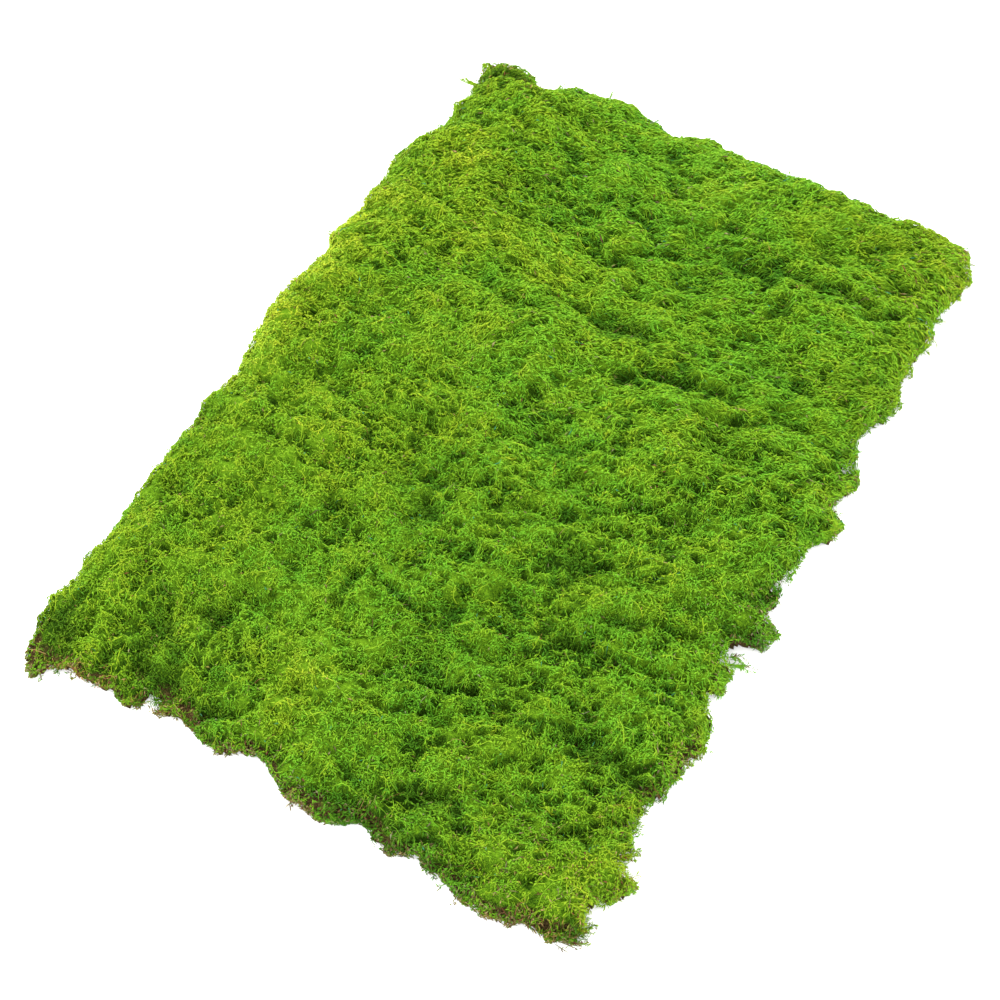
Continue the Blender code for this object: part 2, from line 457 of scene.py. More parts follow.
# %% [markdown]
# ## Colours
#
# Young shoots are lime, older ones a deep green, and a few have dried to straw or rust. A shoot is dark
# at its root, where no light reaches, and palest at its tip. Two colour ramps run over the tone, one
# for the root and one for the tip, and the way along the shoot blends them. The shoot's band then
# tints it, from a cool green to a warm yellow green.


# %% Shoot material
def ramp(tree, factor, stops):
    """A colour ramp over factor, with a stop for each (place, colour)."""
    node = tree.nodes.new("ShaderNodeValToRGB")
    elements = node.color_ramp.elements
    while len(elements) < len(stops):
        elements.new(0.5)
    for element, (place, colour) in zip(elements, stops):
        element.position = place
        element.color = (*colour, 1)
    tree.links.new(factor, node.inputs["Fac"])
    return node.outputs["Color"]


def counted(tree, kind, first, *others):
    """A Math node of the given kind over sockets or plain numbers."""
    node = tree.nodes.new("ShaderNodeMath")
    node.operation = kind
    for socket, value in zip(node.inputs, (first, *others)):
        if isinstance(value, bpy.types.NodeSocket):
            tree.links.new(value, socket)
        else:
            socket.default_value = value
    return node.outputs[0]


def blend(tree, factor, first, second, kind="MIX"):
    """first blended towards second by factor."""
    node = tree.nodes.new("ShaderNodeMix")
    node.data_type = "RGBA"
    node.blend_type = kind
    for socket, value in ((node.inputs[0], factor), (node.inputs[6], first), (node.inputs[7], second)):
        if isinstance(value, bpy.types.NodeSocket):
            tree.links.new(value, socket)
        else:
            socket.default_value = value
    return node.outputs[2]


TIP_TONES = [
    (0.00, (0.046, 0.205, 0.092)),
    (0.08, (0.040, 0.165, 0.060)),
    (0.12, (0.041, 0.118, 0.004)),
    (0.30, (0.103, 0.236, 0.008)),
    (0.46, (0.147, 0.298, 0.010)),
    (0.62, (0.168, 0.310, 0.012)),
    (0.70, (0.190, 0.330, 0.014)),
    (0.78, (0.258, 0.402, 0.021)),
    (0.82, (0.150, 0.175, 0.022)),
    (0.87, (0.150, 0.130, 0.029)),
    (0.91, (0.240, 0.200, 0.084)),
    (0.95, (0.095, 0.057, 0.020)),
    (1.00, (0.120, 0.044, 0.020)),
]
ROOT_TONES = [
    (0.00, (0.036, 0.155, 0.064)),
    (0.12, (0.036, 0.104, 0.003)),
    (0.46, (0.139, 0.288, 0.009)),
    (0.68, (0.178, 0.312, 0.013)),
    (0.78, (0.226, 0.368, 0.018)),
    (0.84, (0.095, 0.105, 0.016)),
    (0.91, (0.165, 0.135, 0.050)),
    (1.00, (0.068, 0.032, 0.015)),
]
TINTS = [(0.0, (0.76, 1.00, 1.20)), (0.5, (1.00, 1.00, 1.00)), (1.0, (1.28, 1.02, 0.90))]


def shoot_material(name):
    """Leafy shoots, coloured by the tone across the map, and by the band and the way to the tip up it.
    The roots' and the tips' ramps are blended by the way to the tip, and multiplied by the tint."""
    material = bpy.data.materials.new(name)
    material.use_nodes = True
    tree = material.node_tree
    shader = tree.nodes["Principled BSDF"]
    place = tree.nodes.new("ShaderNodeUVMap")
    place.uv_map = MAP
    split = tree.nodes.new("ShaderNodeSeparateXYZ")
    tree.links.new(place.outputs["UV"], split.inputs["Vector"])
    tone, up = split.outputs["X"], counted(tree, "MULTIPLY", split.outputs["Y"], BANDS)
    along = counted(tree, "FRACT", up)
    warm = counted(tree, "DIVIDE", counted(tree, "FLOOR", up), BANDS - 1)
    rise = ramp(tree, along, [(0.0, (0, 0, 0)), (0.6, (1, 1, 1))])
    colour = blend(tree, rise, ramp(tree, tone, ROOT_TONES), ramp(tree, tone, TIP_TONES))
    colour = blend(tree, 1.0, colour, ramp(tree, warm, TINTS), "MULTIPLY")
    tree.links.new(colour, shader.inputs["Base Color"])
    shader.inputs["Roughness"].default_value = 0.7
    shader.inputs["Specular IOR Level"].default_value = 0.08
    return material


SHOOTS = shoot_material("moss_shoots")

# %% [markdown]
# ## The way the moss is combed
#
# Stems creep in their own ways, but neighbours lean the same way. The combing turns slowly over the
# mat. The far part lies in one sweep across the mat. The near part is a bushy mix, and along the left
# side the shoots are fine and stand up.

# %% Combing
LEFT = 1 - eased(0.0, 0.34, SHARE_X)
COMBED = 1.6 * smooth_noise(HERE_X, HERE_Y, 0.070, 41) + 1.2 * smooth_noise(HERE_X, HERE_Y, 0.026, 42)
COMBED = 0.36 + COMBED * (1.1 - 0.78 * FAR) + 0.6 * NEAR_LEFT


def scattered(count, seed):
    """Random places inside the torn outline, at most count of them: a dart thrown outside is dropped."""
    rng = np.random.default_rng(seed)
    x = rng.uniform(LOW[0], HIGH[0], count)
    y = rng.uniform(LOW[1], HIGH[1], count)
    keep = read_grid(RIM, x, y) > 0.0008
    return x[keep], y[keep]


# %% [markdown]
# ## Tone, with painted light and shade
#
# The tone of a shoot depends on where its tip is. Slow patches and small flecks change it over the whole
# mat. Light and shade are painted into it as well: knots are lime and painted lighter, gaps, creases,
# furrows and the hole are painted darker, a painted shade lies along the near rim, and a painted highlight
# lies along the left rim, where the lamp lights the mat. Dead brown shoots show in patches along the near
# and the right side, where the mat was torn, and at the corners.

# %% Tone
GREEN = (0.14, 0.78)  # the span of tones that are green
BROWN = (0.82, 0.99)  # the span of tones from dry olive through straw to rust
# Painted highlight on the raised knots, and painted shade in creases, pits, furrows and the hole.
TONE_AND_PAINTED_LIGHT = 0.47 + 0.10 * KNOTS - 0.33 * PITS - 0.28 * DENTS - 0.8 * HOLE + 0.02 * FAR
BLOTCHES = rough_noise(HERE_X / 1.5, HERE_Y, 0.080, 2, 51)
FLECKS = rough_noise(HERE_X, HERE_Y, 0.011, 2, 53)
TONE_AND_PAINTED_LIGHT += 0.06 * BLOTCHES + 0.04 * FLECKS
# A painted highlight along the left rim, where the lamp lights the mat's side.
LEFT_RIM_PAINTED_HIGHLIGHT = (1 - eased(0, 0.13, SHARE_X)) * eased(0.36, 0.44, SHARE_Y) * (1 - eased(0.70, 0.80, SHARE_Y))
TONE_AND_PAINTED_LIGHT += 0.20 * LEFT_RIM_PAINTED_HIGHLIGHT
TONE_AND_PAINTED_LIGHT = with_spots(
    TONE_AND_PAINTED_LIGHT,
    (0.26, 0.37, 0.020, 0.14),  # lighter places: lime moss, and painted highlight on knots, ridges and the lit left rim
    (0.43, 0.13, 0.024, 0.22),
    (0.48, 0.18, 0.014, 0.12),
    (0.36, 0.42, 0.014, 0.15),
    (0.19, 0.37, 0.014, 0.13),
    (0.41, 0.07, 0.018, 0.14),
    (0.38, 0.19, 0.020, 0.08),
    (0.15, 0.82, 0.020, 0.10),
    (0.30, 0.60, 0.020, 0.06),
    (0.43, 0.77, 0.016, 0.08),
    (0.14, 0.44, 0.030, 0.06),
    (0.03, 0.44, 0.030, 0.16),
    (0.03, 0.64, 0.028, 0.13),
    (0.31, 0.46, 0.024, 0.11),
    (0.66, 0.44, 0.026, 0.05),
    (0.81, 0.55, 0.024, 0.05),
    (0.69, 0.35, 0.024, 0.05),
    (0.56, 0.85, 0.026, 0.06),
    (0.50, 0.92, 0.035, 0.03),
    (0.56, 0.54, 0.050, 0.05),
    (0.55, 0.30, 0.014, 0.12),
    (0.68, 0.32, 0.014, 0.12),
    (0.19, 0.67, 0.014, 0.10),
    (0.66, 0.04, 0.050, -0.12),  # darker places: deep green moss, and painted shade in hollows and round the hole
    (0.22, 0.10, 0.040, -0.08),
    (0.70, 0.07, 0.015, -0.16),
    (0.86, 0.20, 0.014, -0.12),
    (0.60, 0.15, 0.012, -0.10),
    (0.52, 0.10, 0.010, -0.12),
    (0.50, 0.47, 0.012, -0.10),
    (0.89, 0.39, 0.014, -0.12),
    (0.97, 0.75, 0.020, -0.08),
    (0.43, 0.38, 0.020, -0.05),
    (0.56, 0.15, 0.036, -0.09),
    (0.56, 0.48, 0.022, -0.08),
    (0.24, 0.80, 0.022, -0.08),
    (0.54, 0.67, 0.020, -0.22),
    (0.80, 0.84, 0.024, -0.06),
    (0.86, 0.10, 0.040, -0.08),
    (0.94, 0.50, 0.060, -0.05),
    (0.93, 0.42, 0.022, -0.06),
    (0.81, 0.45, 0.030, -0.04),
    (0.81, 0.64, 0.030, -0.03),
    (0.94, 0.66, 0.028, -0.07),
    (0.46, 0.72, 0.022, -0.05),
    (0.03, 0.80, 0.030, -0.06),
    (0.08, 0.97, 0.018, -0.16),
    (0.05, 0.93, 0.024, -0.10),
    (0.058, 0.060, 0.015, -0.22),
    (0.96, 0.94, 0.030, 0.06),  # the pale right corners, the far one partly a painted highlight against the shade of its slope
    (0.94, 0.07, 0.036, 0.05),
)
# Painted shade along the near rim, whose side faces away from the lamp; the same band adds a little dead
# brown.
NEAR_RIM_SHADE_AND_BROWN = eased(0.3, 0.9, NEAR_SIDE) * (1 - eased(0.002, 0.022, EDGE))
TONE_AND_PAINTED_LIGHT -= 0.14 * NEAR_RIM_SHADE_AND_BROWN
PATCHY = np.clip(0.40 + 1.2 * rough_noise(HERE_X, HERE_Y, 0.040, 2, 55), 0.05, 1)
BROWNED = 0.55 * (1 - eased(0, 0.004, EDGE)) + 0.30 * (1 - eased(0, 0.018, EDGE))
BROWNED *= PATCHY * np.maximum(eased(0.3, 0.9, NEAR_SIDE), 0.25 * eased(0.3, 0.9, RIGHT_SIDE))
CORNER = 0.6 * spot(0.05, 0.01, 0.018) + 0.6 * spot(0.12, 0.02, 0.014)
BROWNED += (1 - eased(0.002, 0.010, EDGE)) * CORNER
BROWNED += 0.04 * NEAR_RIM_SHADE_AND_BROWN + 0.1 * HOLE + 0.012
BROWNED = with_spots(
    BROWNED,
    (0.08, 0.97, 0.018, 0.15),  # the corners
    (0.95, 0.95, 0.040, 0.06),
    (0.88, 0.05, 0.050, 0.13),
    (0.96, 0.250, 0.014, 0.30),  # dead tufts on the right side
    (0.96, 0.425, 0.012, 0.20),
    (0.96, 0.205, 0.010, 0.12),
)
WARMTH = 0.37 + 0.20 * (1 - eased(0.0, 0.5, SHARE_X)) + 0.05 * (TONE_AND_PAINTED_LIGHT - 0.43)
DRIFTS = rough_noise(HERE_X / 1.6, HERE_Y, 0.060, 3, 57)
MOTTLE = rough_noise(HERE_X / 1.4, HERE_Y, 0.008, 2, 58)
WARMTH += 0.15 * DRIFTS + 0.24 * MOTTLE
WARMTH = with_spots(
    WARMTH,
    (0.03, 0.66, 0.035, 0.15),  # yellower places; the two on the left rim take the yellow of its painted highlight
    (0.03, 0.52, 0.035, 0.20),
    (0.27, 0.36, 0.040, 0.20),
    (0.41, 0.13, 0.034, 0.35),
    (0.25, 0.70, 0.050, 0.10),
    (0.06, 0.94, 0.040, 0.20),
    (0.95, 0.06, 0.050, 0.38),
    (0.97, 0.80, 0.040, 0.15),
    (0.92, 0.97, 0.040, 0.15),
    (0.58, 0.27, 0.060, -0.18),  # places that stay damp and cool
    (0.90, 0.30, 0.050, -0.18),
    (0.36, 0.90, 0.050, -0.15),
    (0.78, 0.72, 0.070, -0.15),
)


def shades(x, y, offset, rng):
    """Tone and band for each shoot tip. The tone is that of its place, with an offset of its own, and
    now and then that of a dead or a bluish shoot. The band is how warm its place is."""
    tone = np.clip(read_grid(TONE_AND_PAINTED_LIGHT, x, y) + offset + rng.normal(0, 0.016, x.shape), *GREEN)
    dice = rng.uniform(0, 1, x.shape)
    tone = np.where(dice < read_grid(BROWNED, x, y), rng.uniform(*BROWN, x.shape), tone)
    tone = np.where(dice > 0.998, rng.uniform(0, 0.07, x.shape), tone)
    warm = read_grid(WARMTH, x, y) + 3 * offset + rng.normal(0, 0.10, x.shape)
    return np.stack([tone, np.clip(np.floor(warm * BANDS), 0, BANDS - 1)], -1)


print("tone", TONE_AND_PAINTED_LIGHT[INSIDE].mean().round(3), "warmth", WARMTH[INSIDE].mean().round(3))

# %% [markdown]
# ## The felt
#
# Under the living shoots is a felt of old stems and short leaves, which holds the mat together. It is
# one closed slab. Its top follows the tips some millimetres down and is lumpy. Its underside is flat,
# where it was cut from the ground. Both are sheets of the same small grid cells, joined by a wall round
# the torn outline. The flat underside needs no detail, so away from the rim its points are merged into
# one for every block of cells.

# %% Felt
FELT_CELL = 0.0025
BLOCK = 6  # cells along the side of a merged block
SUNK, SUNK_AWAY = 0.0036, 0.0012  # how far the felt lies under the tips, and how far at the left and far rims


def solid_cells(cells):
    """The cells, less those with no neighbour along x or none along y."""
    for _ in range(3):
        padded = np.pad(cells, 1)
        cells = cells & (padded[1:-1, :-2] | padded[1:-1, 2:]) & (padded[:-2, 1:-1] | padded[2:, 1:-1])
    corner = ~cells[:-1, :-1] & cells[:-1, 1:] & cells[1:, :-1] & ~cells[1:, 1:]
    cells[1:, :-1] &= ~corner  # two cells that meet at one corner only: one of them goes
    corner = cells[:-1, :-1] & ~cells[:-1, 1:] & ~cells[1:, :-1] & cells[1:, 1:]
    cells[:-1, :-1] &= ~corner
    return cells


def felt_shape():
    """Grid cells inside the torn outline make a top sheet, sunk under the tips and lumpy, and a flat
    bottom sheet. Every edge on the rim gets a wall. Each bottom point in a block that lies deep inside
    takes the number of the block's first point, and faces that lose a corner by it are dropped."""
    rng = np.random.default_rng(33)
    columns = int(SPAN_X / FELT_CELL / BLOCK + 2) * BLOCK
    rows = int(SPAN_Y / FELT_CELL / BLOCK + 2) * BLOCK
    x, y = np.meshgrid(np.arange(columns) - 0.5 * (columns - 1), np.arange(rows) - 0.5 * (rows - 1))
    x, y = MIDDLE[0] + FELT_CELL * x, MIDDLE[1] + FELT_CELL * y
    inward = read_grid(RIM, x, y)
    seen = np.maximum(read_grid(NEAR_SIDE, x, y), read_grid(RIGHT_SIDE, x, y))
    inner = inward > 0.001 * (seen - 1)
    cells = solid_cells(inner[:-1, :-1] & inner[:-1, 1:] & inner[1:, :-1] & inner[1:, 1:])
    reach = read_grid(TIPS, x, y)
    lump = 0.0009 * rough_noise(x, y, 0.009, 2, 31) + rng.normal(0, 0.0003, x.shape)
    depth = SUNK - (SUNK - SUNK_AWAY) * (1 - seen) * (1 - eased(0, 0.006, inward))
    top = np.maximum(0.45 * reach, reach - depth + lump) * np.clip(inward / 0.006, 0.9 - 0.45 * seen, 1)
    top = np.maximum(top, 0.0015)
    number = np.arange(rows * columns).reshape(rows, columns)
    a, b = number[:-1, :-1][cells], number[:-1, 1:][cells]
    c, d = number[1:, 1:][cells], number[1:, :-1][cells]
    upper = np.concatenate([np.stack([a, b, c], 1), np.stack([a, c, d], 1)])
    edges = np.concatenate([np.stack(pair, 1) for pair in ((a, b), (b, c), (c, d), (d, a))])
    key = edges[:, 0] * rows * columns + edges[:, 1]
    back = edges[:, 1] * rows * columns + edges[:, 0]
    e, f = edges[~np.isin(key, back)].T
    deep = (inward > 0.012).reshape(rows // BLOCK, BLOCK, columns // BLOCK, BLOCK).all((1, 3))
    deep = np.repeat(np.repeat(deep, BLOCK, 0), BLOCK, 1)
    first = np.repeat(np.repeat(number[::BLOCK, ::BLOCK], BLOCK, 0), BLOCK, 1)
    merged = np.where(deep, first, number).ravel()
    lower = merged[upper[:, ::-1]]
    whole = (lower[:, 0] != lower[:, 1]) & (lower[:, 1] != lower[:, 2]) & (lower[:, 0] != lower[:, 2])
    lower = lower[whole] + rows * columns
    g, h = f + rows * columns, e + rows * columns
    walls = np.concatenate([np.stack([e, h, g], 1), np.stack([e, g, f], 1)])
    faces = np.concatenate([upper, lower, walls])
    shift = np.where(inner, 0.3, 0) * FELT_CELL * rng.uniform(-1, 1, (2, *x.shape))
    x, y = x + shift[0], y + shift[1]
    flat = np.stack([x.ravel(), y.ravel(), np.zeros(x.size)], 1)
    high = np.stack([x.ravel(), y.ravel(), top.ravel()], 1)
    points = np.concatenate([high, flat])
    over = (points[:, :2] - LOW[:2]) / (HIGH - LOW)[:2]
    half = np.repeat([0.01, 0.51], rows * columns)
    places = np.stack([0.01 + over[:, 0] * 0.46 + half, 0.01 + over[:, 1] * 0.98], 1)
    used, faces = np.unique(faces, return_inverse=True)
    return points[used], faces.reshape(-1, 3), places[used]


def felt_material():
    """Short leaves and old stems: speckled greens on top, and earth brown low down on the torn sides
    and underneath. The greens are kept darker than the shoots, partly as painted shade under them, and
    follow the tone attribute with its painted highlight and painted shade."""
    material = bpy.data.materials.new("moss_felt")
    material.use_nodes = True
    tree = material.node_tree
    shader = tree.nodes["Principled BSDF"]
    place = tree.nodes.new("ShaderNodeTexCoord")
    speck, patch = (tree.nodes.new("ShaderNodeTexNoise") for _ in range(2))
    speck.inputs["Scale"].default_value = 780
    speck.inputs["Detail"].default_value = 3
    speck.inputs["Distortion"].default_value = 1.5
    patch.inputs["Scale"].default_value = 55
    for node in (speck, patch):
        tree.links.new(place.outputs["Object"], node.inputs["Vector"])
    tone, dry = (tree.nodes.new("ShaderNodeAttribute") for _ in range(2))
    tone.attribute_name, dry.attribute_name = "tone", "dry"
    lighter = counted(tree, "MULTIPLY_ADD", tone.outputs["Fac"], 0.6, -0.28)
    green = ramp(tree, counted(tree, "ADD", speck.outputs["Fac"], lighter), FELT_GREENS_AND_SHADE)
    earth = ramp(tree, speck.outputs["Fac"], FELT_EARTHS)
    split = tree.nodes.new("ShaderNodeSeparateXYZ")
    tree.links.new(place.outputs["Object"], split.inputs["Vector"])
    height = counted(tree, "MULTIPLY_ADD", patch.outputs["Fac"], 0.008, split.outputs["Z"])
    height = counted(tree, "MULTIPLY_ADD", dry.outputs["Fac"], -0.024, height)
    low = tree.nodes.new("ShaderNodeMapRange")
    low.inputs["From Min"].default_value = 0.0065
    low.inputs["From Max"].default_value = 0.0095
    tree.links.new(height, low.inputs["Value"])
    colour = blend(tree, low.outputs["Result"], earth, green)
    tree.links.new(colour, shader.inputs["Base Color"])
    bump = tree.nodes.new("ShaderNodeBump")
    bump.inputs["Distance"].default_value = 0.0010
    tree.links.new(speck.outputs["Fac"], bump.inputs["Height"])
    tree.links.new(bump.outputs["Normal"], shader.inputs["Normal"])
    shader.inputs["Roughness"].default_value = 0.95
    shader.inputs["Specular IOR Level"].default_value = 0.03
    return material


# Felt greens, kept dark partly as painted shade under the shoots.
FELT_GREENS_AND_SHADE = [(0.32, (0.014, 0.040, 0.002)), (0.50, (0.068, 0.154, 0.005)), (0.68, (0.118, 0.232, 0.009))]
FELT_EARTHS = [(0.36, (0.013, 0.009, 0.003)), (0.50, (0.045, 0.030, 0.010)), (0.64, (0.120, 0.080, 0.030))]
felt = add_piece("old_growth_felt", felt_shape(), felt_material())
places = np.empty(len(felt.data.vertices) * 3, np.float32)
felt.data.vertices.foreach_get("co", places)
# The felt takes the tone grid, with its painted highlight and painted shade, and the dry share.
for name, grid in (("tone", TONE_AND_PAINTED_LIGHT), ("dry", BROWNED - 0.12 * LEFT_SIDE)):
    layer = felt.data.attributes.new(name, "FLOAT", "POINT")
    layer.data.foreach_set("value", read_grid(grid, places[0::3], places[1::3]).astype(np.float32))

# %% [markdown]
# ## Fronds
#
# A frond is a thread that creeps just under the skin, with side shoots left and right of it in turn.
# The shoots lean forwards and arch. In the near part fronds
# are short, climb out of the felt and curl every way. In the far part they are longer and lie down.

# %% Fronds
LEAVES = 4  # side shoots on each frond
SHOOT_LENGTH = (0.0021, 0.0050)
SHOOT_HALF = 0.00034  # half the width of a side shoot at its waist
FROND_LENGTH = (0.0065, 0.011)
STEM_RADIUS = 0.00033
ROOT_SUNK, TIP_SUNK = (0.003, 0.007), (-0.0012, 0.0025)  # how far a frond's two ends lie under the tips
STEM_LOWEST, SHOOT_LOWEST = 0.0012, 0.0008  # heights above the underside


def mixed_angle(first, second, share):
    """The angle between two headings: their unit vectors blended by share."""
    return np.arctan2(
        (1 - share) * np.sin(first) + share * np.sin(second),
        (1 - share) * np.cos(first) + share * np.cos(second),
    )


def stem_lines(x, y, heading, bend, length, sink_root, sink_tip, steps):
    """Each stem starts at (x, y) and runs along its heading, which turns steadily by bend over its
    length. It lies aside of the pits. It stays below the tips' height by a depth that goes from
    sink_root, quickly and then slowly, to sink_tip."""
    t = np.linspace(0, 1, steps)
    angle = heading[:, None] + bend[:, None] * (t - 0.5)
    step = length[:, None] / (steps - 1)
    px = x[:, None] + np.cumsum(np.cos(angle) * step, 1) - np.cos(angle[:, :1]) * step
    py = y[:, None] + np.cumsum(np.sin(angle) * step, 1) - np.sin(angle[:, :1]) * step
    px, py = px + read_grid(ASIDE_X, px, py), py + read_grid(ASIDE_Y, px, py)
    line = kept_in(np.stack([px, py, py], -1), read_grid(REACH, px, py), 0.08)
    sink = sink_root[:, None] * (1 - t) ** 2 + sink_tip[:, None] * (1 - (1 - t) ** 2)
    line[..., 2] = np.maximum(read_grid(TIPS, line[..., 0], line[..., 1]) - sink, STEM_LOWEST)
    return line


def on_line(line, t):
    """The points at share t (one row per line, one column per point wanted) along each line."""
    place = t * (line.shape[1] - 1)
    low = np.minimum(place.astype(int), line.shape[1] - 2)
    share = (place - low)[..., None]
    row = np.arange(len(line))[:, None]
    return line[row, low] * (1 - share) + line[row, low + 1] * share


def side_shoots(line, count, offset, rng, size=None):
    """Short shoots on both sides of each line in turn. They lean forwards, rise a little and arch. They
    keep near the torn edge and under the tips' height, unless a size for each line is given: then they
    are free of both, and that size times the usual length."""
    n = len(line)
    far, left = (read_grid(grid, line[:, 0, 0], line[:, 0, 1])[:, None] for grid in (FAR, LEFT))
    t = rng.uniform(0.15, 0.95, (n, count))
    root = on_line(line, t)
    ahead = on_line(line, np.minimum(t + 0.1, 1)) - on_line(line, np.maximum(t - 0.1, 0))
    ahead /= np.maximum(np.linalg.norm(ahead, axis=-1, keepdims=True), 1e-9)
    level, rest = across(ahead)
    side = np.where(np.arange(count) % 2, 1.0, -1.0)[None]
    spread = side * rng.normal(0.75, 0.3, (n, count)) * (1 - 0.45 * far)
    lift = rng.normal(0.25, 0.40, (n, count)) * (1 - 0.4 * far) + 0.4 * left
    way = (
        np.cos(spread)[..., None] * ahead
        + np.sin(spread)[..., None] * level
        + np.sin(lift)[..., None] * rest
    )
    way /= np.linalg.norm(way, axis=-1, keepdims=True)
    long = rng.uniform(*SHOOT_LENGTH, (n, count)) * (1 + 0.55 * far if size is None else size[:, None])
    tip = root + long[..., None] * way
    tip[..., 0] += read_grid(ASIDE_X, tip[..., 0], tip[..., 1])
    tip[..., 1] += read_grid(ASIDE_Y, tip[..., 0], tip[..., 1])
    ceiling = root[..., 2] + 0.002
    if size is None:
        tip = kept_in(tip, read_grid(REACH, root[..., 0], root[..., 1]) + 0.0008, 0.15)
        above = rng.uniform(0, 0.002, (n, count))
        ceiling = np.maximum(read_grid(TIPS, tip[..., 0], tip[..., 1]) + above, 0.003)
    tip[..., 2] = np.clip(tip[..., 2], SHOOT_LOWEST, ceiling)
    shade = shades(tip[..., 0], tip[..., 1], offset[:, None], rng)
    arch = 0.20 * long * rng.uniform(0.5, 1.5, (n, count)) * (1 - 0.3 * far)
    wide = SHOOT_HALF * rng.uniform(0.7, 1.3, (n, count))
    roll = rng.normal(0, 0.7, (n, count))
    flat = (n * count, 3)
    return arched_shoots(
        root.reshape(flat), tip.reshape(flat), arch.ravel(), wide.ravel(), roll.ravel(), shade.reshape(-1, 2)
    )


def fronds(x, y, outward, seed):
    """Fronds rooted at each (x, y): their stems as threads, and their side shoots. The share outward of
    each heading points out of the mat."""
    rng = np.random.default_rng(seed)
    n = len(x)
    far, left = read_grid(FAR, x, y), read_grid(LEFT, x, y)
    comb = read_grid(COMBED, x, y) + np.pi * (rng.uniform(0, 1, n) < 0.25)
    downhill = np.arctan2(read_grid(DOWNHILL_Y, x, y), read_grid(DOWNHILL_X, x, y))
    out = np.arctan2(-read_grid(INWARD_Y, x, y), -read_grid(INWARD_X, x, y))
    heading = mixed_angle(mixed_angle(comb, downhill, 0.35 - 0.25 * far), out, outward)
    heading += rng.normal(0, 1, n) * (0.45 - 0.20 * far)
    bend = rng.normal(0, 1, n) * (1.4 - 0.8 * far)
    length = rng.uniform(*FROND_LENGTH, n) * (1 + 0.65 * far) * (1 - 0.25 * left)
    sink_root, sink_tip = rng.uniform(*ROOT_SUNK, n), rng.uniform(*TIP_SUNK, n)
    line = stem_lines(x, y, heading, bend, length, sink_root, sink_tip, 4)
    offset = rng.normal(0, 0.024, n)
    thick = STEM_RADIUS * rng.uniform(0.75, 1.25, n)
    stems = threads(line, thick, shades(line[:, 2, 0], line[:, 2, 1], offset, rng))
    return joined(stems, side_shoots(line, LEAVES, offset, rng))


FROND_COUNT = 29200
EDGE_DARTS = 62000  # thrown over the whole mat, to keep those that hit the band along the edge
EDGE_BAND = 0.006
STRIPS = ("near_end", "near_middle", "middle", "far_middle", "far_end")
x, y = scattered(FROND_COUNT, 61)
outward = np.zeros(len(x))
edge_x, edge_y = scattered(EDGE_DARTS, 63)
rim = read_grid(RIM, edge_x, edge_y) < EDGE_BAND
x, y = np.append(x, edge_x[rim]), np.append(y, edge_y[rim])
outward = np.append(outward, np.full(rim.sum(), 0.7))
clear = read_grid(HOLE, x, y) < 0.4  # no frond is rooted in the hole
x, y, outward = x[clear], y[clear], outward[clear]
strip = np.clip(((y - LOW[1]) / SPAN_Y * len(STRIPS)).astype(int), 0, len(STRIPS) - 1)
for number, name in enumerate(STRIPS):
    here = strip == number
    add_piece("fronds_" + name, fronds(x[here], y[here], outward[here], 70 + number), SHOOTS)

# %% [markdown]
# ## Runners
#
# Here and there a longer, paler shoot has grown over its neighbours. These runners are the strands that
# stand out one by one, most of all in the near part.

# %% Runners
RUNNER_LEAVES = 5
RUNNER_LENGTH = (0.010, 0.020)


def runners(count, seed):
    """Long curved threads with a few side shoots, which lie on the tips or arch just above them."""
    rng = np.random.default_rng(seed)
    x, y = scattered(count, seed + 1)
    keep = rng.uniform(0, 1, len(x)) < 1 - 0.5 * read_grid(FAR, x, y)
    x, y = x[keep], y[keep]
    n = len(x)
    heading = read_grid(COMBED, x, y) + rng.normal(0, 0.9, n) + np.pi * (rng.uniform(0, 1, n) < 0.5)
    line = stem_lines(
        x, y, heading, rng.normal(0, 1.8, n), rng.uniform(*RUNNER_LENGTH, n),
        rng.uniform(0.001, 0.003, n), rng.uniform(-0.0015, 0.0005, n), 6,
    )
    offset = rng.normal(0.08, 0.04, n)
    thick = STEM_RADIUS * rng.uniform(0.8, 1.2, n)
    stems = threads(line, thick, shades(line[:, 3, 0], line[:, 3, 1], offset, rng))
    return joined(stems, side_shoots(line, RUNNER_LEAVES, offset, rng))


add_piece("runners", runners(1900, 91), SHOOTS)

# %% [markdown]
# ## Wisps
#
# Where the mat was torn, small bundles of shoots stick out past its edge. Some are claw-like flaps with
# many strands, others are a few thin threads that curl. The largest are listed one by one, each as a bundle
# that fans out from its root. Many small ones are scattered along the near, right and far sides.

